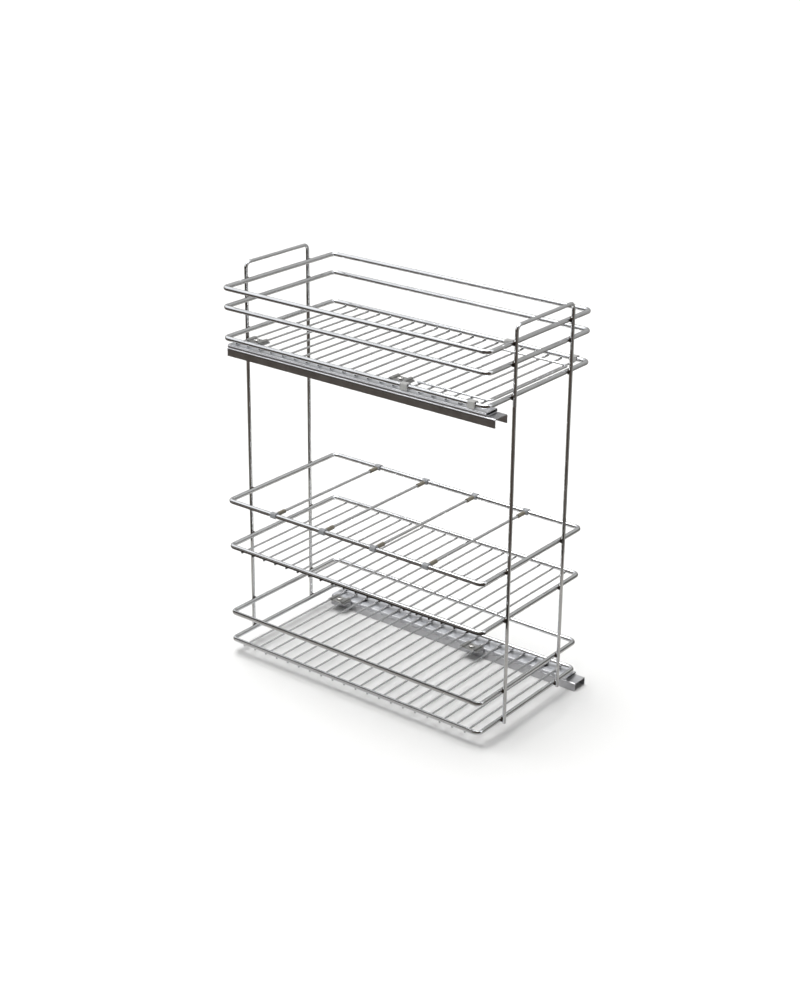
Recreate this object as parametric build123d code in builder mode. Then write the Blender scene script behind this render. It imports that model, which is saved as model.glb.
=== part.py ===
from build123d import *

from math import sqrt
import os

# Pull-out bottle rack for a narrow base cabinet: three wire baskets between two end
# frames, carried by a ball runner under its top left and its bottom right long side.
# Millimetres. +Z is up, the rack pulls out along -Y, +X is on the right seen from the front.
# The origin is on the cabinet floor, in the middle of the whole outline.
# Where a size has a rise or a depth, it runs between the centres of two ring wires.

# Wires
ring_wire_d = 6.5
frame_wire_d = 5.0
floor_wire_d = 2.8
floor_wire_pitch = 21.0

# Rings: seven of one size, outside measures
ring_width = 240.0
ring_length = 450.0
ring_corner_r = 11.0

# Heights from one ring to the next, from the bottom ring up
bottom_basket_depth = 43.5
lower_opening = 105.5
middle_basket_depth = 70.5
bottle_opening = 243.5
top_basket_lower_gap = 44.0
top_basket_upper_gap = 27.5
frame_rise = 23.5

# End frames
frame_post_spacing = 130.0
frame_bend_r = 8.0
frame_foot_drop = 5.0
cut_end_chamfer = 0.5

# Cabinet channels, an inverted U of sheet steel
channel_length = 450.0
channel_width = 27.0
channel_height = 12.0
channel_sheet = 1.2
channel_bend_r = 2.2
channel_overhang = 8.0
channel_side_clearance = 2.5

# Ball runner: a race rail on the channel and a moving rail over it
rail_setback = 15.0
rail_width = 26.0
rail_sheet = 0.8
rail_corner_r = 0.7
rail_lift = 0.3
race_lip = 0.1
travel = 310.0
ball_d = 1.984
ball_clearance = 0.05
ball_pitch = 12.0
cage_sheet = 0.4
cage_gap = 0.2
cage_end_gap = 3.0
cage_foot_gap = 0.5
cage_end_margin = 6.0

# Holes through the race rail and the channel for the screws that fix a runner
fixing_hole_d = 4.5
fixing_access_d = 9.5
fixing_inset = 59.5
fixing_pitch = 336.0
fixing_count = 2
rivet_d = 3.0
rivet_head_d = 6.0
rivet_crown_d = 4.0
rivet_head_h = 0.9
rivet_pitch = 100.0
rivet_count = 4

# Clamps that hold the baskets down on the moving rails
clamp_bays = (0, 12)
clamp_width = 18.0
clamp_foot = 3.6
clamp_sheet = 1.2
clamp_bend_r = 1.5
clamp_crown_flat = 0.7
clamp_wire_gap = 0.05
clamp_inset = 2.0
ear_length = 33.0
ear_leg = 10.5
ear_gap = 0.5
screw_d = 5.0
screw_head_d = 9.0
screw_head_h = 2.6
screw_gap = 0.05
screw_cross_width = 1.1
screw_cross_length = 5.0
screw_cross_depth = 1.6
screw_end_projection = 1.5
nut_across_flats = 8.0
nut_thickness = 2.7

# Bottle dividers on the middle basket's rim
divider_count = 4
divider_pitch = 89.0
divider_offset = 2.5
divider_rod_d = 4.0
divider_sleeve_d = 6.0
divider_sleeve_length = 15.0
divider_clip_wall = 1.3
divider_clip_width = 9.0
divider_clip_gap = 0.1
divider_clip_mouth = 4.6
divider_boss = 1.5

# Wire frame welded on the front floor wires of the top basket
floor_frame_wire_d = 3.0
floor_frame_inboard = 26.5
floor_frame_bar_setback = 14.0
floor_frame_bend_r = 7.0
floor_frame_clamp_gap = 29.75

# Plastic clips that straddle the top basket's floor ring
ring_clip_width = 11.0
ring_clip_wall = 1.1
ring_clip_gap = 0.1
ring_clip_bend_r = 1.8
ring_clip_setback = 22.3
ring_clip_pitch = 106.5
ring_clip_outer_drop = 5.0
ring_clip_inner_drop = 2.6

# Sizes that follow from the ones above
ring_r = ring_wire_d / 2
floor_wire_r = floor_wire_d / 2
side_x = ring_width / 2 - ring_r
end_y = ring_length / 2 - ring_r
corner_r = ring_corner_r - ring_r
rack_y = channel_overhang / 2
ball_r = ball_d / 2
groove_r = ball_r + ball_clearance
flat_offset = cage_sheet / 2 + cage_gap
groove_half = sqrt(groove_r**2 - flat_offset**2)
ball_row = rail_width / 2 - groove_r - rail_sheet
ball_height = rail_sheet + race_lip + groove_half
race_top = ball_height + groove_half + race_lip
cage_top = race_top + cage_gap + cage_sheet
rail_top = cage_top + cage_gap + rail_sheet

frame_y = ring_length / 2 + frame_wire_d / 2
channel_front = rack_y - frame_y - frame_wire_d / 2 - channel_overhang
rail_length = channel_length - rail_setback
rail_y = channel_front + rail_setback + rail_length / 2
runner_x = ring_width / 2 + channel_side_clearance - channel_width / 2
fixing_y = channel_front + fixing_inset + fixing_pitch / 2

floor_drop = ring_r + floor_wire_r
bottom_floor_z = channel_height + rail_top + floor_wire_d + ring_r
bottom_rim_z = bottom_floor_z + bottom_basket_depth
middle_floor_z = bottom_rim_z + lower_opening
middle_rim_z = middle_floor_z + middle_basket_depth
top_floor_z = middle_rim_z + bottle_opening
top_middle_z = top_floor_z + top_basket_lower_gap
top_rim_z = top_middle_z + top_basket_upper_gap
frame_top_z = top_rim_z + frame_rise
frame_foot_z = bottom_floor_z - frame_foot_drop

floor_wire_count = int((ring_length - 2 * ring_corner_r) / floor_wire_pitch)
floor_wire_length = ring_width - ring_wire_d + floor_wire_d / 2

clamp_x = runner_x - channel_width / 2 - ear_gap + clamp_inset - clamp_width / 2
rear_bay_y = rack_y + floor_wire_pitch * (floor_wire_count / 2 - 1)
clamp_ys = [rear_bay_y - bay * floor_wire_pitch for bay in clamp_bays]
cage_length = rail_length - travel - 2 * cage_end_gap
divider_boss_x = side_x - ring_r - divider_clip_gap - divider_clip_wall - divider_boss
floor_frame_z = top_floor_z - ring_r + floor_frame_wire_d / 2
floor_frame_bar_y = rack_y - end_y + floor_frame_bar_setback
floor_frame_end_y = clamp_ys[-1] - floor_frame_clamp_gap
front_ring_clip_y = rack_y - end_y + ring_clip_setback
ring_clip_ys = [front_ring_clip_y, front_ring_clip_y + ring_clip_pitch]
divider_y = rack_y + divider_offset - divider_pitch * (divider_count - 1) / 2


def write(piece, name):
    """Label a finished piece and write it under its own name."""
    piece.part.label = name
    export_step(piece.part, f"parts/{name}.step")


def ring(z):
    """One basket ring: round wire bent to a rectangle with rounded corners."""
    corners = [
        (-side_x, rack_y - end_y, z),
        (side_x, rack_y - end_y, z),
        (side_x, rack_y + end_y, z),
        (-side_x, rack_y + end_y, z),
    ]
    with BuildPart() as wire_ring:
        with BuildLine():
            path = FilletPolyline(*corners, radius=corner_r, close=True)
        with BuildSketch(Plane(origin=path @ 0, z_dir=path % 0)):
            Circle(ring_r)
        sweep()
    return wire_ring


def floor_wires(z):
    """The cross wires of one basket floor, welded under its ring."""
    with BuildPart() as wires:
        with BuildSketch(Plane.YZ):
            with Locations((rack_y, z - floor_drop)):
                with GridLocations(floor_wire_pitch, 0, floor_wire_count, 1):
                    Circle(floor_wire_r)
        extrude(amount=floor_wire_length / 2, both=True)
    return wires


def end_frame(y):
    """An inverted U of wire, welded to the ends of all the rings."""
    half = frame_post_spacing / 2
    with BuildPart() as frame:
        with BuildLine():
            path = FilletPolyline(
                (-half, y, frame_foot_z),
                (-half, y, frame_top_z),
                (half, y, frame_top_z),
                (half, y, frame_foot_z),
                radius=frame_bend_r,
            )
        with BuildSketch(Plane(origin=path @ 0, z_dir=path % 0)):
            Circle(frame_wire_d / 2)
        sweep()
        chamfer(frame.faces().group_by(Axis.Z)[0].edges(), cut_end_chamfer)
    return frame


def sheet_section(corners, sheet, bend_r, side=Side.RIGHT):
    """The section of a bent sheet, from the corners of one of its faces."""
    with BuildSketch(Plane.XY) as section:
        with BuildLine():
            FilletPolyline(*corners, radius=bend_r)
            offset(amount=sheet, side=side)
        make_face()
    return section.sketch


def channel(x, base_z):
    """A cabinet channel: an inverted U with rounded shoulders and fixing holes."""
    left, right = x - channel_width / 2, x + channel_width / 2
    top = base_z + channel_height
    with BuildPart() as profile:
        with BuildSketch(Plane.XZ.offset(-channel_front)):
            corners = [(left, base_z), (left, top), (right, top), (right, base_z)]
            add(sheet_section(corners, channel_sheet, channel_bend_r))
        extrude(amount=-channel_length)
        with Locations((x, fixing_y, top)):
            with GridLocations(0, fixing_pitch, 1, fixing_count):
                Hole(fixing_hole_d / 2, depth=2 * channel_sheet)
        with Locations((x, rail_y, top)):
            with GridLocations(0, rivet_pitch, 1, rivet_count):
                Hole(rivet_d / 2, depth=2 * channel_sheet)
    return profile


def ball_rows(x, web_z):
    """Where the two rows of balls run in a runner's section."""
    return [(x - ball_row, web_z + ball_height), (x + ball_row, web_z + ball_height)]


def race_rail(x, web_z):
    """The fixed rail: a tray whose two walls are rolled into outward ball grooves."""
    wall_x = ball_row - flat_offset
    rear = rail_y + rail_length / 2
    with BuildPart() as rail:
        with BuildSketch(Plane.XZ.offset(-rear)):
            with Locations(*ball_rows(x, web_z)):
                Circle(groove_r + rail_sheet)
            with Locations((x, web_z + rail_sheet / 2)):
                Rectangle(2 * wall_x, rail_sheet)
            for wall in (x - wall_x + rail_sheet / 2, x + wall_x - rail_sheet / 2):
                with Locations((wall, web_z + race_top / 2)):
                    Rectangle(rail_sheet, race_top)
            with Locations((x, web_z + race_top / 2)):
                Rectangle(2 * wall_x, race_top, mode=Mode.INTERSECT)
            with Locations(*ball_rows(x, web_z)):
                Circle(groove_r, mode=Mode.SUBTRACT)
        extrude(amount=rail_length)
        with Locations((x, fixing_y, web_z + rail_sheet)):
            with GridLocations(0, fixing_pitch, 1, fixing_count):
                Hole(fixing_access_d / 2, depth=2 * rail_sheet)
        with Locations((x, rail_y, web_z + rail_sheet)):
            with GridLocations(0, rivet_pitch, 1, rivet_count):
                Hole(rivet_d / 2, depth=2 * rail_sheet)
    return rail


def moving_rail(x, web_z):
    """The moving rail: a low cap whose edges are rolled over the outside of the balls."""
    inner = ball_row + flat_offset
    outer = inner + rail_sheet
    rear = rail_y + rail_length / 2
    with BuildPart() as rail:
        with BuildSketch(Plane.XZ.offset(-rear)) as section:
            with Locations((x, web_z + (rail_lift + rail_top) / 2)):
                Rectangle(2 * outer, rail_top - rail_lift)
            fillet(section.vertices().group_by(Axis.Y)[-1], rail_corner_r)
            with Locations(*ball_rows(x, web_z)):
                Circle(groove_r + rail_sheet)
            with Locations((x, web_z + rail_lift + rail_top / 2)):
                Rectangle(rail_width, rail_top, mode=Mode.INTERSECT)
            with Locations((x, web_z + (rail_top - rail_sheet) / 2)):
                Rectangle(2 * inner, rail_top - rail_sheet, mode=Mode.SUBTRACT)
            with Locations(*ball_rows(x, web_z)):
                Circle(groove_r, mode=Mode.SUBTRACT)
        extrude(amount=rail_length)
        with Locations((x, fixing_y, web_z + rail_top)):
            with GridLocations(0, fixing_pitch, 1, fixing_count):
                Hole(fixing_access_d / 2, depth=2 * rail_sheet)
    return rail


def ball_stations():
    """How many balls a row holds, between the ends of the cage."""
    return int((cage_length - 2 * cage_end_margin) / ball_pitch) + 1


def ball_cage(x, web_z):
    """The ball cage: a thin inverted tray with a pocket for each ball."""
    outer = ball_row + cage_sheet / 2
    rear = rail_y + cage_length / 2
    with BuildPart() as cage:
        with BuildSketch(Plane.XZ.offset(-rear)):
            with Locations((x, web_z + (cage_foot_gap + cage_top) / 2)):
                Rectangle(2 * outer, cage_top - cage_foot_gap)
            with Locations((x, web_z + (cage_top - cage_sheet) / 2)):
                Rectangle(2 * (outer - cage_sheet), cage_top - cage_sheet, mode=Mode.SUBTRACT)
        extrude(amount=cage_length)
        with BuildSketch(Plane.YZ.offset(x)):
            with Locations((rail_y, web_z + ball_height)):
                with GridLocations(ball_pitch, 0, ball_stations(), 1):
                    Circle(groove_r)
        extrude(amount=rail_width / 2, both=True, mode=Mode.SUBTRACT)
    return cage


def cage_balls(x, web_z):
    """The two rows of balls in a cage."""
    with BuildPart() as balls:
        with Locations((x, rail_y, web_z + ball_height)):
            with GridLocations(2 * ball_row, ball_pitch, 2, ball_stations()):
                Sphere(ball_r)
    return balls


def race_rivets(x, web_z):
    """Rivets that hold the race rail on the channel."""
    tail_z = web_z - channel_sheet - rivet_head_h
    head_z = web_z + rail_sheet
    with BuildPart() as rivets:
        with Locations((x, rail_y)):
            with GridLocations(0, rivet_pitch, 1, rivet_count):
                with Locations((0, 0, tail_z)):
                    Cone(
                        rivet_crown_d / 2,
                        rivet_head_d / 2,
                        rivet_head_h,
                        align=(Align.CENTER, Align.CENTER, Align.MIN),
                    )
                    Cylinder(
                        rivet_d / 2,
                        head_z - tail_z,
                        align=(Align.CENTER, Align.CENTER, Align.MIN),
                    )
                with Locations((0, 0, head_z)):
                    Cone(
                        rivet_head_d / 2,
                        rivet_crown_d / 2,
                        rivet_head_h,
                        align=(Align.CENTER, Align.CENTER, Align.MIN),
                    )
    return rivets


def clamp_ears(side, web_z):
    """Angle ears on the moving rail's inner edge, one under each clamp plate."""
    rail_edge = runner_x - ball_row - flat_offset - rail_sheet
    leg_x = runner_x - channel_width / 2 - ear_gap - clamp_sheet / 2
    ear_end = clamp_x - clamp_width / 2
    top = web_z + rail_top
    with BuildPart() as ears:
        for y in clamp_ys:
            with BuildSketch(Plane.XZ.offset(-y - ear_length / 2)):
                with Locations((side * (rail_edge + ear_end) / 2, top - clamp_sheet / 2)):
                    Rectangle(rail_edge - ear_end, clamp_sheet)
                with Locations((side * leg_x, top - ear_leg / 2)):
                    Rectangle(clamp_sheet, ear_leg)
            extrude(amount=ear_length)
            with Locations((side * clamp_x, y, top)):
                Hole(screw_d / 2 + screw_gap, depth=2 * clamp_sheet)
    return ears


def clamp_plates(side, web_z):
    """Pressed plates: flat on the ear under the screw, arched over two floor wires."""
    bed = web_z + rail_top
    arch = floor_wire_d + clamp_wire_gap
    near = floor_wire_pitch / 2 - floor_wire_r - clamp_wire_gap
    far = floor_wire_pitch / 2 + floor_wire_r + clamp_wire_gap
    foot = far + clamp_foot
    half = [(near, 0), (near, arch), (far, arch), (far, 0), (foot, 0)]
    outline = [(-y, z) for y, z in reversed(half)] + half
    crown_r = (far - near - clamp_crown_flat) / 2
    radii = [clamp_bend_r, crown_r, crown_r, clamp_bend_r]
    with BuildPart() as plates:
        for y in clamp_ys:
            with BuildSketch(Plane.YZ.offset(side * clamp_x)):
                points = [(y + across, bed + up) for across, up in outline]
                add(sheet_section(points, clamp_sheet, radii + radii, side=Side.LEFT))
            extrude(amount=clamp_width / 2, both=True)
            with Locations((side * clamp_x, y, bed + clamp_sheet)):
                Hole(screw_d / 2 + screw_gap, depth=2 * clamp_sheet)
    return plates


def clamp_screws(side, web_z):
    """Pan-head screws with a cross recess, one through each clamp plate."""
    seat = web_z + rail_top + clamp_sheet
    length = 2 * clamp_sheet + nut_thickness + screw_end_projection
    with BuildPart() as screws:
        for y in clamp_ys:
            with BuildSketch(Plane.XY.offset(seat)):
                with Locations((side * clamp_x, y)):
                    Circle(screw_head_d / 2)
            extrude(amount=screw_head_h)
            fillet(screws.edges(Select.LAST).group_by(Axis.Z)[-1], screw_head_h / 2)
            with BuildSketch(Plane.XY.offset(seat)):
                with Locations((side * clamp_x, y)):
                    Circle(screw_d / 2)
            extrude(amount=-length)
            with BuildSketch(Plane.XY.offset(seat + screw_head_h)):
                with Locations((side * clamp_x, y)):
                    Rectangle(screw_cross_length, screw_cross_width)
                    Rectangle(screw_cross_width, screw_cross_length)
            extrude(amount=-screw_cross_depth, mode=Mode.SUBTRACT)
    return screws


def clamp_nuts(side, web_z):
    """Hexagon nuts under the ears."""
    with BuildPart() as nuts:
        with BuildSketch(Plane.XY.offset(web_z + rail_top - clamp_sheet)):
            for y in clamp_ys:
                with Locations((side * clamp_x, y)):
                    RegularPolygon(nut_across_flats / 2, 6, major_radius=False)
                    Circle(screw_d / 2 + screw_gap, mode=Mode.SUBTRACT)
        extrude(amount=-nut_thickness)
    return nuts


def divider_rod(y):
    """The bare middle and ends of a divider's rod."""
    with BuildPart() as rod:
        with BuildSketch(Plane.YZ):
            with Locations((y, middle_rim_z)):
                Circle(divider_rod_d / 2)
        extrude(amount=divider_boss_x, both=True)
    return rod


def divider_sleeves(y):
    """Plastic sleeves on both ends of a divider's rod."""
    with BuildPart() as sleeves:
        for side in (-1, 1):
            with BuildSketch(Plane.YZ.offset(side * divider_boss_x)):
                with Locations((y, middle_rim_z)):
                    Circle(divider_sleeve_d / 2)
                    Circle(divider_rod_d / 2, mode=Mode.SUBTRACT)
            extrude(amount=-side * divider_sleeve_length)
    return sleeves


def divider_clips(y):
    """Snap clips round the rim, open below, that a divider slides on."""
    bore_r = ring_r + divider_clip_gap
    wall_r = bore_r + divider_clip_wall
    with BuildPart() as clips:
        for side in (-1, 1):
            with BuildSketch(Plane.YZ.offset(side * divider_boss_x)):
                with Locations((y, middle_rim_z)):
                    Circle(divider_sleeve_d / 2)
            extrude(amount=side * (side_x - divider_boss_x))
            with BuildSketch(Plane.XZ.offset(-y)):
                with Locations((side * side_x, middle_rim_z)):
                    Circle(wall_r)
            extrude(amount=divider_clip_width / 2, both=True)
            with BuildSketch(Plane.XZ.offset(-y)):
                with Locations((side * side_x, middle_rim_z)):
                    Circle(bore_r)
                with Locations((side * side_x, middle_rim_z - wall_r / 2)):
                    Rectangle(divider_clip_mouth, wall_r)
            extrude(amount=divider_clip_width / 2, both=True, mode=Mode.SUBTRACT)
    return clips


def top_floor_frame():
    """A U of wire welded on the front floor wires of the top basket."""
    x = side_x - floor_frame_inboard
    with BuildPart() as frame:
        with BuildLine():
            path = FilletPolyline(
                (-x, floor_frame_end_y, floor_frame_z),
                (-x, floor_frame_bar_y, floor_frame_z),
                (x, floor_frame_bar_y, floor_frame_z),
                (x, floor_frame_end_y, floor_frame_z),
                radius=floor_frame_bend_r,
            )
        with BuildSketch(Plane(origin=path @ 0, z_dir=path % 0)):
            Circle(floor_frame_wire_d / 2)
        sweep()
    return frame


def ring_clips():
    """Four plastic clips that straddle the top basket's floor ring."""
    half = ring_r + ring_clip_gap + ring_clip_wall
    corners = [
        (side_x + half, top_floor_z - ring_clip_outer_drop),
        (side_x + half, top_floor_z + half),
        (side_x - half, top_floor_z + half),
        (side_x - half, top_floor_z - ring_clip_inner_drop),
    ]
    with BuildPart() as clips:
        for y in ring_clip_ys:
            with BuildSketch(Plane.XZ.offset(-y)):
                add(sheet_section(corners, ring_clip_wall, ring_clip_bend_r, side=Side.LEFT))
            extrude(amount=ring_clip_width / 2, both=True)
        mirror(about=Plane.YZ)
    return clips


os.makedirs("parts", exist_ok=True)

write(ring(top_rim_z), "top_basket_rim")
write(ring(top_middle_z), "top_basket_middle_ring")
write(ring(top_floor_z), "top_basket_floor_ring")
write(floor_wires(top_floor_z), "top_basket_floor_wires")
write(ring(middle_rim_z), "middle_basket_rim")
write(ring(middle_floor_z), "middle_basket_floor_ring")
write(floor_wires(middle_floor_z), "middle_basket_floor_wires")
write(ring(bottom_rim_z), "bottom_basket_rim")
write(ring(bottom_floor_z), "bottom_basket_floor_ring")
write(floor_wires(bottom_floor_z), "bottom_basket_floor_wires")
write(end_frame(rack_y - frame_y), "front_frame")
write(end_frame(rack_y + frame_y), "rear_frame")

runners = {
    "top": (-1, top_floor_z - bottom_floor_z),
    "bottom": (1, 0.0),
}
for place, (side, base_z) in runners.items():
    x = side * runner_x
    web_z = base_z + channel_height
    write(channel(x, base_z), f"{place}_channel")
    write(race_rail(x, web_z), f"{place}_race_rail")
    write(race_rivets(x, web_z), f"{place}_race_rivets")
    write(ball_cage(x, web_z), f"{place}_ball_cage")
    write(cage_balls(x, web_z), f"{place}_balls")
    write(moving_rail(x, web_z), f"{place}_moving_rail")
    write(clamp_ears(side, web_z), f"{place}_clamp_ears")
    write(clamp_plates(side, web_z), f"{place}_clamp_plates")
    write(clamp_screws(side, web_z), f"{place}_clamp_screws")
    write(clamp_nuts(side, web_z), f"{place}_clamp_nuts")

for number in range(divider_count):
    y = divider_y + number * divider_pitch
    write(divider_rod(y), f"divider_rod_{number + 1}")
    write(divider_sleeves(y), f"divider_sleeves_{number + 1}")
    write(divider_clips(y), f"divider_clips_{number + 1}")

write(top_floor_frame(), "top_floor_frame")
write(ring_clips(), "ring_clips")
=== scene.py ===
"""Pull-out bottle rack: finishes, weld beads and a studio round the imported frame.

Lengths are in metres unless a name ends in _mm. +Z is up and the rack pulls
out along -Y, as in the frame.
"""

from __future__ import annotations

import logging
import math
import random
from dataclasses import dataclass
from enum import Enum
from typing import Sequence

import bmesh
import bpy
from mathutils import Matrix, Vector

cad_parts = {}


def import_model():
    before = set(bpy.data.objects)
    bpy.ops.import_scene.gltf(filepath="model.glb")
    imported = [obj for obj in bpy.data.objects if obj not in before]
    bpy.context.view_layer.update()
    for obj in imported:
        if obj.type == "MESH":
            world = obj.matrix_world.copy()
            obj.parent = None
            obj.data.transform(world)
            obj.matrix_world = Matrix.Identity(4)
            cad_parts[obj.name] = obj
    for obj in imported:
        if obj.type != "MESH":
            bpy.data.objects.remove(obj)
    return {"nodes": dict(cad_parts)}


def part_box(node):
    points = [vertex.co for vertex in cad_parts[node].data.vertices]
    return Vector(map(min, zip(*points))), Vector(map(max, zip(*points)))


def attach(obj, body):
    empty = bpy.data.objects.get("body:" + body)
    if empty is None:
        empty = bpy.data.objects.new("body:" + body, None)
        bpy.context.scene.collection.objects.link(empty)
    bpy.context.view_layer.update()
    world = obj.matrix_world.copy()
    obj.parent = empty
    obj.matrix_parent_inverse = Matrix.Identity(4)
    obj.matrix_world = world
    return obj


MM = 0.001
log = logging.getLogger("bottle_rack")

# The wires and the dividers, as the CAD has them.
RING_WIRE_R = 3.25 * MM
END_FRAME_WIRE_R = 2.5 * MM
FLOOR_FRAME_WIRE_R = 1.5 * MM
FLOOR_WIRE_R = 1.4 * MM
FLOOR_WIRE_PITCH = 21.0 * MM
DIVIDER_COUNT = 4

UP = Vector((0, 0, 1))
ALONG_RACK = Vector((0, 1, 0))

# The curve between sRGB levels and linear light.
SRGB_KNEE = 0.04045
SRGB_SLOPE = 12.92
SRGB_OFFSET = 0.055
SRGB_POWER = 2.4
TOP_LEVEL = 255

# The colour sockets of a Mix node, which has others of the same names.
MIX_SHARE = 0
MIX_FIRST = 6
MIX_SECOND = 7
MIX_RESULT = 2

Span = tuple[float, float]
Stops = tuple[tuple[float, str], ...]


class Place(Enum):
    """The basket under which a runner carries the rack."""

    TOP = "top"
    BOTTOM = "bottom"


class Basket(Enum):
    """The three baskets, each with its rings from the uppermost down."""

    TOP = ("top_basket", ("rim", "middle_ring", "floor_ring"))
    MIDDLE = ("middle_basket", ("rim", "floor_ring"))
    BOTTOM = ("bottom_basket", ("rim", "floor_ring"))


# Colour and shader helpers


def linear(hex_colour: str) -> tuple[float, float, float, float]:
    """Turn an sRGB hex colour to the linear values that a shader takes.

    Args:
        hex_colour: Six hex digits after a hash sign.

    Returns:
        Red, green, blue and an alpha of one.
    """
    levels = [level / TOP_LEVEL for level in bytes.fromhex(hex_colour.lstrip("#"))]
    red, green, blue = (
        level / SRGB_SLOPE
        if level <= SRGB_KNEE
        else ((level + SRGB_OFFSET) / (1 + SRGB_OFFSET)) ** SRGB_POWER
        for level in levels
    )
    return (red, green, blue, 1.0)


def grey(level: float) -> tuple[float, float, float, float]:
    """Give an opaque grey.

    Args:
        level: Its linear level, from 0 to 1.

    Returns:
        Red, green, blue and an alpha of one.
    """
    return (level, level, level, 1.0)


def per_metre(size_mm: float) -> float:
    """Give the scale of a pattern from the real size of its features.

    Args:
        size_mm: The size in millimetres.

    Returns:
        The texture scale, in features per metre.
    """
    return 1.0 / (size_mm * MM)


def new_material(name: str) -> bpy.types.Material:
    """Start a material with an empty node tree.

    Args:
        name: The material's name.

    Returns:
        The new material.
    """
    made = bpy.data.materials.new(name)
    made.use_nodes = True
    made.node_tree.nodes.clear()
    return made


def add_node(
    tree: bpy.types.NodeTree,
    kind: str,
    inputs: dict[str | int, object] | None = None,
    **settings: object,
) -> bpy.types.Node:
    """Add one node to a tree, with its settings and links.

    Args:
        tree: The node tree.
        kind: The node's type name.
        inputs: Values, or output sockets to link, by input name or number.
        **settings: The node's own properties.

    Returns:
        The new node.
    """
    made = tree.nodes.new(kind)
    for name, value in settings.items():
        setattr(made, name, value)
    for name, value in (inputs or {}).items():
        if isinstance(value, bpy.types.NodeSocket):
            tree.links.new(value, made.inputs[name])
        else:
            made.inputs[name].default_value = value
    return made


def ramp(
    tree: bpy.types.NodeTree,
    factor: bpy.types.NodeSocket,
    stops: Sequence[tuple[float, str]],
) -> bpy.types.NodeSocket:
    """Add a colour ramp.

    Args:
        tree: The node tree.
        factor: The socket that drives it.
        stops: Positions from 0 to 1 with hex colours, in order, two or more.

    Returns:
        The ramp's colour output.
    """
    made = add_node(tree, "ShaderNodeValToRGB", {"Fac": factor})
    elements = made.color_ramp.elements
    while len(elements) < len(stops):
        elements.new(0.5)
    for element, (position, colour) in zip(elements, stops):
        element.position = position
        element.color = linear(colour)
    return made.outputs["Color"]


def noise(
    tree: bpy.types.NodeTree,
    place: bpy.types.NodeSocket,
    scale: float,
    detail: float,
    roughness: float,
) -> bpy.types.NodeSocket:
    """Add a noise pattern.

    Args:
        tree: The node tree.
        place: The coordinates that it is read at.
        scale: Its features per unit of those coordinates.
        detail: How many finer layers it has.
        roughness: How strong the finer layers are.

    Returns:
        The pattern's value output.
    """
    return add_node(
        tree,
        "ShaderNodeTexNoise",
        {"Vector": place, "Scale": scale, "Detail": detail, "Roughness": roughness},
    ).outputs["Fac"]


def map_range(
    tree: bpy.types.NodeTree,
    value: bpy.types.NodeSocket,
    source: Span,
    target: Span = (0.0, 1.0),
) -> bpy.types.NodeSocket:
    """Map a value from one range to another, held at both ends.

    Args:
        tree: The node tree.
        value: The value's socket.
        source: The range that it comes from.
        target: The range that it goes to.

    Returns:
        The mapped value's socket.
    """
    return add_node(
        tree,
        "ShaderNodeMapRange",
        {
            "Value": value,
            "From Min": source[0],
            "From Max": source[1],
            "To Min": target[0],
            "To Max": target[1],
        },
    ).outputs["Result"]


def mix_colours(
    tree: bpy.types.NodeTree, share: object, first: object, second: object
) -> bpy.types.NodeSocket:
    """Mix two colours.

    Args:
        tree: The node tree.
        share: The second colour's share, a socket or a number.
        first: The colour at a share of 0, a socket or a value.
        second: The colour at a share of 1, a socket or a value.

    Returns:
        The mixed colour's socket.
    """
    return add_node(
        tree,
        "ShaderNodeMix",
        {MIX_SHARE: share, MIX_FIRST: first, MIX_SECOND: second},
        data_type="RGBA",
    ).outputs[MIX_RESULT]


def vector_math(
    tree: bpy.types.NodeTree, operation: str, *values: object
) -> bpy.types.NodeSocket:
    """Add an operation on vectors.

    Args:
        tree: The node tree.
        operation: Blender's name for it.
        *values: Its inputs in order, sockets or vectors.

    Returns:
        Its number output where the operation gives a number, or its vector output.
    """
    gives_number = operation in ("DOT_PRODUCT", "LENGTH")
    return add_node(
        tree, "ShaderNodeVectorMath", dict(enumerate(values)), operation=operation
    ).outputs["Value" if gives_number else "Vector"]


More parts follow.
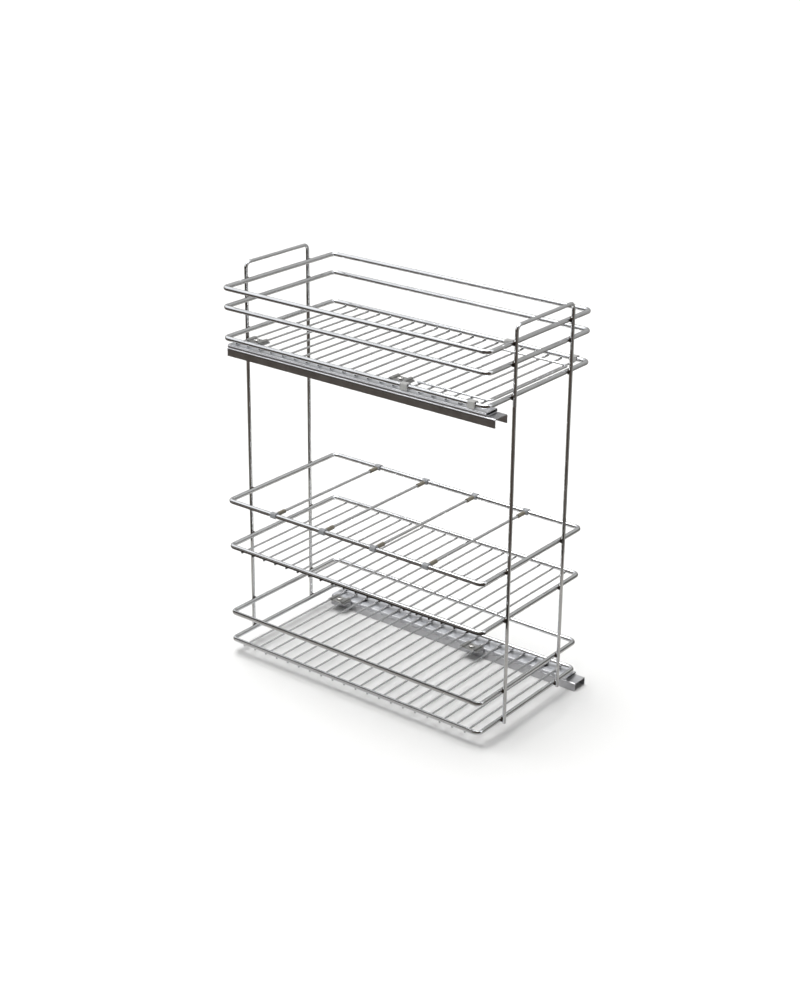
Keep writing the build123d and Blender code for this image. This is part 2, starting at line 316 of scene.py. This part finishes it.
@dataclass(frozen=True)
class Finish:
    """A finish: a range of colours, a range of roughness and a surface relief.

    The grain is a noise pattern, stretched along one axis where the surface was
    rolled or drawn. A second, larger pattern drifts the colour and the gloss.
    A span holds the values of both together at which a range starts and ends.
    """

    name: str
    dark: str
    light: str
    roughness: Span
    grain_mm: tuple[float, float, float]
    drift_mm: float
    relief_mm: float
    metallic: float = 1.0
    ior: float = 1.5
    grain_detail: float = 3.0
    grain_roughness: float = 0.55
    grain_share: float = 0.45
    drift_detail: float = 2.0
    drift_roughness: float = 0.5
    drift_share: float = 0.55
    colour_span: Span = (0.32, 0.68)
    roughness_span: Span = (0.3, 0.7)

    def build(self) -> bpy.types.Material:
        """Make the material from the finish's values.

        Returns:
            The new material.
        """
        made = new_material(self.name)
        tree = made.node_tree
        place = add_node(tree, "ShaderNodeTexCoord").outputs["Object"]
        grain_scale = tuple(per_metre(size) for size in self.grain_mm)
        grain_place = add_node(
            tree, "ShaderNodeMapping", {"Vector": place, "Scale": grain_scale}
        ).outputs["Vector"]
        grain = noise(tree, grain_place, 1.0, self.grain_detail, self.grain_roughness)
        drift = noise(
            tree,
            place,
            per_metre(self.drift_mm),
            self.drift_detail,
            self.drift_roughness,
        )
        drift_part = add_node(
            tree,
            "ShaderNodeMath",
            {0: drift, 1: self.drift_share},
            operation="MULTIPLY",
        ).outputs["Value"]
        pattern = add_node(
            tree,
            "ShaderNodeMath",
            {0: grain, 1: self.grain_share, 2: drift_part},
            operation="MULTIPLY_ADD",
        ).outputs["Value"]
        low, high = self.colour_span
        colour = ramp(tree, pattern, [(low, self.dark), (high, self.light)])
        rough = map_range(tree, pattern, self.roughness_span, self.roughness)
        bump = add_node(
            tree,
            "ShaderNodeBump",
            {"Height": grain, "Strength": 1.0, "Distance": self.relief_mm * MM},
        ).outputs["Normal"]
        shader = add_node(
            tree,
            "ShaderNodeBsdfPrincipled",
            {
                "Base Color": colour,
                "Metallic": self.metallic,
                "Roughness": rough,
                "IOR": self.ior,
                "Normal": bump,
            },
        )
        add_node(tree, "ShaderNodeOutputMaterial", {"Surface": shader.outputs["BSDF"]})
        return made


class Surface(Enum):
    """The finishes on the rack."""

    # Chromium over nickel on drawn mild-steel wire, polished before plating: a
    # mirror with a faint orange peel of a millimetre or two.
    CHROME_PLATE = Finish(
        name="Chrome plate on drawn steel wire",
        dark="#d2d3d4",
        light="#e2e3e4",
        roughness=(0.05, 0.11),
        grain_mm=(1.6, 1.6, 1.6),
        drift_mm=24.0,
        relief_mm=0.004,
    )
    # Cold-rolled strip, zinc plated: a soft metal sheen, streaked along the rolling.
    ROLLED_ZINC = Finish(
        name="Zinc plated rolled steel",
        dark="#c4c4c6",
        light="#d9dadc",
        roughness=(0.26, 0.38),
        grain_mm=(0.5, 22.0, 0.5),
        drift_mm=18.0,
        relief_mm=0.004,
    )
    # Pressed strip, zinc plated and passivated: a dull grey metal.
    PASSIVATED_ZINC = Finish(
        name="Clear passivated zinc plate",
        dark="#8f8f8d",
        light="#adacaa",
        roughness=(0.28, 0.40),
        grain_mm=(0.7, 0.7, 0.7),
        drift_mm=7.0,
        relief_mm=0.006,
    )
    # Bright zinc on cold-headed steel: near a mirror.
    BRIGHT_ZINC = Finish(
        name="Bright zinc plated steel",
        dark="#bfbebb",
        light="#dddcd9",
        roughness=(0.16, 0.28),
        grain_mm=(0.6, 0.6, 0.6),
        drift_mm=5.0,
        relief_mm=0.004,
    )
    # Cold-rolled rail with its crown burnished by the rolls: brighter than the
    # channel.
    BURNISHED_ZINC = Finish(
        name="Burnished zinc plated rail",
        dark="#d0d1d4",
        light="#e2e3e6",
        roughness=(0.30, 0.36),
        grain_mm=(1.6, 60.0, 1.6),
        drift_mm=24.0,
        relief_mm=0.0003,
    )
    # Acetal ring clips, injection moulded in light grey: dull, with soft edges.
    RING_CLIP_PLASTIC = Finish(
        name="Moulded acetal ring clip",
        dark="#aeaeac",
        light="#bcbcba",
        roughness=(0.36, 0.48),
        grain_mm=(0.4, 0.4, 0.4),
        drift_mm=6.0,
        relief_mm=0.006,
        metallic=0.0,
        ior=1.48,
    )
    # Plating over a resistance weld: heat-darkened and rough. Its near-black colour
    # is also painted shade, for the shadow between the crossing wires.
    WELD_METAL = Finish(
        name="Plated weld bead with painted shade",
        dark="#231e1b",
        light="#4d4640",
        roughness=(0.28, 0.5),
        grain_mm=(0.6, 0.6, 0.6),
        drift_mm=1.6,
        relief_mm=0.03,
    )
    # Polypropylene tube, extruded: dull, with a fine grain.
    SLEEVE_PLASTIC = Finish(
        name="Extruded polypropylene",
        dark="#6f6a5d",
        light="#857f71",
        roughness=(0.42, 0.55),
        grain_mm=(0.35, 0.35, 0.35),
        drift_mm=4.0,
        relief_mm=0.008,
        metallic=0.0,
    )
    # Acetal, injection moulded: slightly waxy, with a spark-eroded grain.
    CLIP_PLASTIC = Finish(
        name="Moulded acetal",
        dark="#8f9194",
        light="#9d9fa2",
        roughness=(0.34, 0.46),
        grain_mm=(0.4, 0.4, 0.4),
        drift_mm=5.0,
        relief_mm=0.006,
        metallic=0.0,
        ior=1.48,
    )


Materials = dict[Surface, bpy.types.Material]


# Pieces and their finishes


def finish_node(node_name: str, material: bpy.types.Material) -> None:
    """Give a node of the frame its material.

    Args:
        node_name: The node's name.
        material: The material for all of its slots.
    """
    for held in bpy.data.objects[node_name].material_slots:
        held.link = "OBJECT"
        held.material = material


def object_from(
    bm: bmesh.types.BMesh, name: str, material: bpy.types.Material
) -> bpy.types.Object:
    """Turn a finished bmesh into an object of the scene.

    Args:
        bm: The mesh, which is freed.
        name: The object's name.
        material: Its material.

    Returns:
        The new object.
    """
    mesh = bpy.data.meshes.new(name)
    bm.to_mesh(mesh)
    bm.free()
    mesh.materials.append(material)
    made = bpy.data.objects.new(name, mesh)
    bpy.context.scene.collection.objects.link(made)
    return made


def piece_from(
    bm: bmesh.types.BMesh,
    name: str,
    material: bpy.types.Material,
    body: str,
) -> None:
    """Turn a finished bmesh into a smooth piece that rides on a body.

    Args:
        bm: The mesh, which is freed.
        name: The piece's name.
        material: Its material.
        body: The body that it rides on.
    """
    bmesh.ops.recalc_face_normals(bm, faces=bm.faces)
    made = object_from(bm, name, material)
    for face in made.data.polygons:
        face.use_smooth = True
    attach(made, body)
    log.info("%s: %d faces, on %s", name, len(made.data.polygons), body)


@dataclass
class CrossWeld:
    """The squeezed-out bead of a resistance weld, where two round wires cross.

    The bead fills the gap between the wires out to its reach, which varies
    round it as melted metal does. It sinks a little into both wires.
    """

    first_r: float
    second_r: float
    reach: float
    around: int = 18
    rows: int = 5
    sink: float = 0.05 * MM
    bulge: float = 0.3 * MM
    unevenness: float = 0.16
    waves: int = 3
    slowest_wave: int = 2
    steepest: float = 0.94

    def add_to(
        self,
        bm: bmesh.types.BMesh,
        point: Vector,
        normal: Vector,
        first_axis: Vector,
        dice: random.Random,
    ) -> None:
        """Add one bead.

        Args:
            bm: The mesh that takes it.
            point: Where the wires touch.
            normal: From the second wire's side to the first wire's side.
            first_axis: Along the first wire. The second wire is square to it.
            dice: The source of the bead's irregularity.
        """
        second_axis = normal.cross(first_axis)
        phase = [dice.uniform(0, math.tau) for _ in range(self.waves)]
        loops: list[list[bmesh.types.BMVert]] = [[] for _ in range(self.rows + 1)]
        for step in range(self.around):
            turn = math.tau * step / self.around
            wave = (
                sum(
                    math.sin((k + self.slowest_wave) * turn + phase[k])
                    for k in range(self.waves)
                )
                / self.waves
            )
            out = self.reach * (1 + self.unevenness * wave)
            across = first_axis * math.cos(turn) + second_axis * math.sin(turn)
            up = self.gap(self.first_r, out * abs(math.sin(turn)))
            down = self.gap(self.second_r, out * abs(math.cos(turn)))
            for row in range(self.rows + 1):
                share = row / self.rows
                height = (up + self.sink) * (1 - share) - (down + self.sink) * share
                spread = out + self.bulge * math.sin(math.pi * share) - self.sink
                at = point + across * spread + normal * height
                loops[row].append(bm.verts.new(at))
        for low, high in zip(loops, loops[1:]):
            for step in range(self.around):
                after = (step + 1) % self.around
                bm.faces.new((low[step], low[after], high[after], high[step]))
        bm.faces.new(list(reversed(loops[0])))
        bm.faces.new(loops[-1])

    def add_floor_row(
        self,
        bm: bmesh.types.BMesh,
        sides: Span,
        first_y: float,
        count: int,
        height: float,
        dice: random.Random,
    ) -> None:
        """Add a bead on each floor wire, under each of two wires along the rack.

        Args:
            bm: The mesh that takes them.
            sides: The X of the two wires along the rack.
            first_y: The Y of the first floor wire.
            count: How many floor wires there are.
            height: The Z at which the wires touch.
            dice: The source of the beads' irregularity.
        """
        for number in range(count):
            y = first_y + number * FLOOR_WIRE_PITCH
            for x in sides:
                self.add_to(bm, Vector((x, y, height)), UP, ALONG_RACK, dice)

    def gap(self, radius: float, offset: float) -> float:
        """Find how far a wire's surface has curved away from its top.

        Args:
            radius: The wire's radius.
            offset: How far to the side of its top.

        Returns:
            The distance below the top, held where the side grows too steep.
        """
        inside = min(offset, radius * self.steepest)
        return radius - math.sqrt(radius * radius - inside * inside)


@dataclass
class WireBasket:
    """A basket: its rings and the cross wires of its floor."""

    kind: Basket
    floor_weld_reach: float = 1.25 * MM

    def dress(self, materials: Materials) -> None:
        """Finish the wires and add the weld beads of the floor.

        Args:
            materials: The materials by surface.
        """
        name, rings = self.kind.value
        chrome = materials[Surface.CHROME_PLATE]
        for ring in rings:
            finish_node(f"{name}_{ring}", chrome)
        finish_node(f"{name}_floor_wires", chrome)
        self.floor_welds(name, materials[Surface.WELD_METAL])

    def floor_welds(self, name: str, weld: bpy.types.Material) -> None:
        """Add a bead where each floor wire crosses the ring's long sides.

        Args:
            name: The basket's name.
            weld: The beads' material.
        """
        low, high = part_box(f"{name}_floor_ring")
        wires_low, wires_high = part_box(f"{name}_floor_wires")
        side_x = high.x - RING_WIRE_R
        first_y = wires_low.y + FLOOR_WIRE_R
        last_y = wires_high.y - FLOOR_WIRE_R
        count = round((last_y - first_y) / FLOOR_WIRE_PITCH) + 1
        bead = CrossWeld(
            RING_WIRE_R, FLOOR_WIRE_R, self.floor_weld_reach, around=12, rows=3
        )
        bm = bmesh.new()
        bead.add_floor_row(
            bm, (-side_x, side_x), first_y, count, low.z, random.Random(name)
        )
        piece_from(bm, f"{name}_floor_welds", weld, "rack")


@dataclass
class EndFrame:
    """An end frame, welded outside the short sides of the rings."""

    name: str
    # The beads reach wide, so that their near-black colour also paints the shade beside
    # the posts where they cross the rings.
    weld_reach: float = 3.4 * MM

    def dress(self, materials: Materials) -> None:
        """Finish the frame and add its weld beads.

        Args:
            materials: The materials by surface.
        """
        finish_node(self.name, materials[Surface.CHROME_PLATE])
        low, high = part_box(self.name)
        post_x = high.x - END_FRAME_WIRE_R
        frame_y = (low.y + high.y) / 2
        inward = -1.0 if frame_y > 0 else 1.0
        touch_y = frame_y + inward * END_FRAME_WIRE_R
        outward = Vector((0, -inward, 0))
        bead = CrossWeld(END_FRAME_WIRE_R, RING_WIRE_R, self.weld_reach)
        dice = random.Random(self.name)
        bm = bmesh.new()
        for kind in Basket:
            basket, rings = kind.value
            for ring in rings:
                ring_low, ring_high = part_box(f"{basket}_{ring}")
                height = (ring_low.z + ring_high.z) / 2
                for x in (-post_x, post_x):
                    bead.add_to(bm, Vector((x, touch_y, height)), outward, UP, dice)
        weld = materials[Surface.WELD_METAL]
        piece_from(bm, f"{self.name}_welds", weld, "rack")


@dataclass
class TopFloorFrame:
    """The U of wire welded on the front floor wires of the top basket."""

    weld_reach: float = 0.95 * MM

    def dress(self, materials: Materials) -> None:
        """Finish the frame and add a bead where its legs cross the floor wires.

        Args:
            materials: The materials by surface.
        """
        finish_node("top_floor_frame", materials[Surface.CHROME_PLATE])
        low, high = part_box("top_floor_frame")
        first_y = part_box("top_basket_floor_wires")[0].y + FLOOR_WIRE_R
        count = int((high.y - first_y) / FLOOR_WIRE_PITCH) + 1
        sides = (low.x + FLOOR_FRAME_WIRE_R, high.x - FLOOR_FRAME_WIRE_R)
        bead = CrossWeld(
            FLOOR_FRAME_WIRE_R, FLOOR_WIRE_R, self.weld_reach, around=10, rows=3
        )
        bm = bmesh.new()
        bead.add_floor_row(
            bm, sides, first_y, count, low.z, random.Random("top_floor_frame")
        )
        weld = materials[Surface.WELD_METAL]
        piece_from(bm, "top_floor_frame_welds", weld, "rack")


@dataclass
class Runner:
    """A ball runner with its channel and the clamps on its moving rail."""

    place: Place

    def dress(self, materials: Materials) -> None:
        """Finish the runner's nodes.

        Args:
            materials: The materials by surface.
        """
        name = self.place.value
        for part in ("channel", "race_rail", "ball_cage", "clamp_ears"):
            finish_node(f"{name}_{part}", materials[Surface.ROLLED_ZINC])
        for part in ("race_rivets", "balls", "clamp_screws", "clamp_nuts"):
            finish_node(f"{name}_{part}", materials[Surface.BRIGHT_ZINC])
        finish_node(f"{name}_moving_rail", materials[Surface.BURNISHED_ZINC])
        finish_node(f"{name}_clamp_plates", materials[Surface.PASSIVATED_ZINC])
        log.info("%s runner finished", name)


@dataclass
class Divider:
    """A bottle divider: a rod, two sleeves and two clips."""

    number: int

    def dress(self, materials: Materials) -> None:
        """Finish the divider's nodes.

        Args:
            materials: The materials by surface.
        """
        for part, surface in (
            ("rod", Surface.CHROME_PLATE),
            ("sleeves", Surface.SLEEVE_PLASTIC),
            ("clips", Surface.CLIP_PLASTIC),
        ):
            finish_node(f"divider_{part}_{self.number}", materials[surface])
        log.info("divider %d finished", self.number)


# The studio


@dataclass(frozen=True)
class PaintedReflectionCard:
    """A card that is seen only in reflections, even where the camera faces it.

    Photographers set such cards beside polished wire to draw a dark line along it.
    This one is hidden from the camera and glows, so the dark line that it draws is a
    painted reflection.
    The card starts at its foot, runs half a width to either side along a line on
    the floor and rises by a vector, which is level for a card that lies flat.
    Its tone, which it gives off as light though it is no lamp, runs from the foot's
    to the end's along the rise.
    """

    name: str
    foot: tuple[float, float, float]
    along: Span
    half_width: float
    rise: tuple[float, float, float]
    foot_tone: str
    end_tone: str

    def build(self) -> None:
        """Set the card up."""
        along = Vector((*self.along, 0)).normalized() * self.half_width
        base = Vector(self.foot)
        rise = Vector(self.rise)
        ends = (base - along, base + along)
        bm = bmesh.new()
        bm.faces.new(
            [bm.verts.new(at) for at in (*ends, ends[1] + rise, ends[0] + rise)]
        )
        made = object_from(bm, self.name, self.paint(rise))
        # Hidden from the camera, from diffuse light and from shadows, the card shows
        # only as a painted reflection in the wires.
        made.visible_camera = False
        made.visible_diffuse = False
        made.visible_shadow = False
        made.visible_transmission = False

    def paint(self, rise: Vector) -> bpy.types.Material:
        """Make the card's material, which gives off its tone.

        Args:
            rise: The card's rise as a vector.

        Returns:
            The new material.
        """
        made = new_material(f"Painted card, {self.name}")
        tree = made.node_tree
        place = add_node(tree, "ShaderNodeTexCoord").outputs["Object"]
        from_foot = vector_math(tree, "SUBTRACT", place, self.foot)
        per_rise = tuple(rise / rise.length_squared)
        share = vector_math(tree, "DOT_PRODUCT", from_foot, per_rise)
        tone = ramp(tree, share, [(0.0, self.foot_tone), (1.0, self.end_tone)])
        glow = add_node(tree, "ShaderNodeEmission", {"Color": tone, "Strength": 1.0})
        add_node(
            tree, "ShaderNodeOutputMaterial", {"Surface": glow.outputs["Emission"]}
        )
        return made


@dataclass
class Studio:
    """A pale floor, soft light and the camera.

    Polished wire shows what stands round it, and here that is painted reflection,
    set up apart from what the camera sees. In reflections alone, the floor is lit
    but shows painted tones that darken away from the rack, a painted room is dark
    low down and bright overhead, a painted grey wall stands on the +X side, and
    glowing cards draw dark lines along the wires. The painted room and wall are
    brighter there by mirrored_gain.

    The floor's painted tones go by metres from the rack's footprint, and change from
    the camera's side to the wall's across side_change. The painted room's and wall's
    tones go by height, from level at 0 to straight up at 1.
    """

    camera_at: tuple[float, float, float] = (-1.8246, -1.4071, 1.2407)
    azimuth: float = math.radians(-53.891)
    elevation: float = math.radians(20.850)
    roll: float = math.radians(1.124)
    focal_px: float = 1783.9
    long_side_px: float = 994.0
    short_side_px: float = 800.0
    axis_px: Span = (450.0, 435.0)
    sensor_mm: float = 36.0
    camera_range: Span = (0.05, 100.0)
    floor_size: float = 200.0
    paper_colour: str = "#f1f1f0"
    paper_roughness: float = 0.9
    footprint: tuple[float, float, float] = (0.12, 0.23, 0.0)
    # Painted reflection: the floor's tones for glossy rays alone, by metres from the
    # footprint, darkening away from the rack.
    camera_side_painted_reflection: Stops = (
        (0.0, "#e4e4e6"),
        (0.03, "#b2b0ac"),
        (0.4, "#928e89"),
        (0.7, "#6a635d"),
        (1.0, "#645d57"),
    )
    wall_side_painted_reflection: Stops = ((0.0, "#bab8b5"), (1.0, "#a09e9b"))
    side_change: Span = (-0.1, 0.3)
    # Painted reflection: a room, dark low down, and a grey wall on the +X side, which
    # only glossy rays see, brightened there by mirrored_gain.
    painted_room_reflection_tones: Stops = ((0.12, "#8c8781"), (0.26, "#c4c5c8"), (1.0, "#fbfcff"))
    painted_wall_way: tuple[float, float, float] = (1.0, 0.0, 0.0)
    painted_wall_edge: Span = (0.52, 0.68)
    painted_wall_reflection_tones: Stops = (
        (0.0, "#898988"),
        (0.35, "#929291"),
        (0.66, "#a7a7a6"),
        (1.0, "#b6b6b5"),
    )
    mirrored_gain: float = 1.5
    ambient: float = 0.12
    # Glowing cards seen only in reflections: painted reflections that draw dark lines
    # along the wires.
    painted_reflection_cards: tuple[PaintedReflectionCard, ...] = (
        PaintedReflectionCard(
            name="left_painted_reflection_card",
            foot=(-0.49, 0.42, 0.3),
            along=(0.0, 1.0),
            half_width=0.7,
            rise=(0.0, 0.0, 0.34),
            foot_tone="#3a3532",
            end_tone="#1d1a18",
        ),
        PaintedReflectionCard(
            name="low_painted_reflection_card",
            foot=(-0.09, 0.2, 0.15),
            along=(0.0, 1.0),
            half_width=0.6,
            rise=(-0.25, 0.0, 0.0),
            foot_tone="#15120f",
            end_tone="#7a756f",
        ),
        PaintedReflectionCard(
            name="right_painted_reflection_card",
            foot=(0.45, -0.54, 0.0),
            along=(0.59, 0.81),
            half_width=0.4,
            rise=(0.0, 0.0, 0.42),
            foot_tone="#565653",
            end_tone="#8b8b88",
        ),
        PaintedReflectionCard(
            name="near_painted_reflection_card",
            foot=(-0.42, -0.255, 0.0),
            along=(0.61, -0.79),
            half_width=0.55,
            rise=(0.0, 0.0, 1.3),
            foot_tone="#4a433e",
            end_tone="#665e58",
        ),
    )
    light_from: tuple[float, float, float] = (-0.03, 0.2, 1.0)
    light_strength: float = 3.75
    light_spread_deg: float = 46.0

    def build(self) -> None:
        """Make the floor, the cards, the lights and the camera."""
        self.floor()
        for painted_card in self.painted_reflection_cards:
            painted_card.build()
        self.surroundings()
        self.lamp()
        self.camera()
        bpy.context.scene.view_settings.view_transform = "Standard"

    def floor(self) -> None:
        """Lay the floor: pale paper, with painted reflection tones where it is
        mirrored.
        """
        bm = bmesh.new()
        bmesh.ops.create_grid(
            bm, x_segments=1, y_segments=1, size=self.floor_size / 2
        )
        material = new_material("Matt white paper with painted reflection tones")
        tree = material.node_tree
        place = add_node(tree, "ShaderNodeTexCoord").outputs["Object"]
        folded = vector_math(tree, "ABSOLUTE", place)
        past = vector_math(tree, "SUBTRACT", folded, self.footprint)
        outside = vector_math(tree, "MAXIMUM", past, (0.0, 0.0, 0.0))
        away = vector_math(tree, "LENGTH", outside)
        across = add_node(tree, "ShaderNodeSeparateXYZ", {"Vector": place}).outputs["X"]
        tone = mix_colours(
            tree,
            map_range(tree, across, self.side_change),
            ramp(tree, away, self.camera_side_painted_reflection),
            ramp(tree, away, self.wall_side_painted_reflection),
        )
        paper = add_node(
            tree,
            "ShaderNodeBsdfPrincipled",
            {
                "Base Color": linear(self.paper_colour),
                "Roughness": self.paper_roughness,
            },
        ).outputs["BSDF"]
        # Painted reflection: glossy rays see the floor in these tones in place of the
        # paper.
        painted_floor_reflection = add_node(tree, "ShaderNodeBsdfDiffuse", {"Color": tone}).outputs["BSDF"]
        mirrored = add_node(tree, "ShaderNodeLightPath").outputs["Is Glossy Ray"]
        both = add_node(
            tree, "ShaderNodeMixShader", {0: mirrored, 1: paper, 2: painted_floor_reflection}
        ).outputs["Shader"]
        add_node(tree, "ShaderNodeOutputMaterial", {"Surface": both})
        made = object_from(bm, "floor", material)

    def surroundings(self) -> None:
        """Light the scene from all round, with a painted room and wall that only the
        wires' reflections show.
        """
        world = bpy.data.worlds.new("Studio")
        bpy.context.scene.world = world
        world.use_nodes = True
        tree = world.node_tree
        tree.nodes.clear()
        way = add_node(tree, "ShaderNodeTexCoord").outputs["Generated"]
        height = add_node(tree, "ShaderNodeSeparateXYZ", {"Vector": way}).outputs["Z"]
        toward_painted_wall = vector_math(tree, "DOT_PRODUCT", way, self.painted_wall_way)
        room = mix_colours(
            tree,
            map_range(tree, toward_painted_wall, self.painted_wall_edge),
            ramp(tree, height, self.painted_room_reflection_tones),
            ramp(tree, height, self.painted_wall_reflection_tones),
        )
        path = add_node(tree, "ShaderNodeLightPath").outputs
        # Glossy rays alone see the painted room and wall: a painted reflection.
        mirrored = path["Is Glossy Ray"]
        plain = mix_colours(tree, path["Is Camera Ray"], grey(self.ambient), grey(1.0))
        light = add_node(
            tree,
            "ShaderNodeBackground",
            {
                "Color": mix_colours(tree, mirrored, plain, room),
                "Strength": map_range(
                    tree, mirrored, (0.0, 1.0), (1.0, self.mirrored_gain)
                ),
            },
        )
        add_node(
            tree, "ShaderNodeOutputWorld", {"Surface": light.outputs["Background"]}
        )

    def lamp(self) -> None:
        """Hang a broad soft light high above, a little behind the rack."""
        data = bpy.data.lights.new("soft_light", "SUN")
        data.angle = math.radians(self.light_spread_deg)
        data.energy = self.light_strength
        made = bpy.data.objects.new("soft_light", data)
        bpy.context.scene.collection.objects.link(made)
        made.rotation_mode = "QUATERNION"
        made.rotation_quaternion = (-Vector(self.light_from)).to_track_quat("-Z", "Y")

    def camera(self) -> None:
        """Stand the camera where the photograph was taken from."""
        data = bpy.data.cameras.new("camera")
        made = bpy.data.objects.new("camera", data)
        bpy.context.scene.collection.objects.link(made)
        bpy.context.scene.camera = made
        back = Vector(
            (
                math.sin(self.azimuth) * math.cos(self.elevation),
                -math.cos(self.azimuth) * math.cos(self.elevation),
                math.sin(self.elevation),
            )
        )
        right = (-back).cross(UP).normalized()
        up = right.cross(-back)
        turned_right = right * math.cos(self.roll) + up * math.sin(self.roll)
        turned_up = up * math.cos(self.roll) - right * math.sin(self.roll)
        turn = Matrix((turned_right, turned_up, back)).transposed()
        made.matrix_world = Matrix.Translation(self.camera_at) @ turn.to_4x4()
        axis_x, axis_y = self.axis_px
        data.sensor_width = self.sensor_mm
        data.lens = self.focal_px / self.long_side_px * data.sensor_width
        data.shift_x = (self.short_side_px / 2 - axis_x) / self.long_side_px
        data.shift_y = (axis_y - self.long_side_px / 2) / self.long_side_px
        data.clip_start, data.clip_end = self.camera_range


def main(frame: dict) -> None:
    """Dress the frame, add what it lacks and set up the studio.

    Args:
        frame: What the frame loader gives.
    """
    logging.basicConfig(level=logging.INFO, format="%(message)s")
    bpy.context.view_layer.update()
    materials = {surface: surface.value.build() for surface in Surface}
    assemblies = [
        *(WireBasket(kind) for kind in Basket),
        *(EndFrame(name) for name in ("front_frame", "rear_frame")),
        *(Runner(place) for place in Place),
        *(Divider(number) for number in range(1, DIVIDER_COUNT + 1)),
        TopFloorFrame(),
    ]
    for assembly in assemblies:
        assembly.dress(materials)
    finish_node("ring_clips", materials[Surface.RING_CLIP_PLASTIC])
    Studio().build()
    log.info("%d nodes in the frame", len(frame["nodes"]))


if __name__ == "__main__":
    main(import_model())
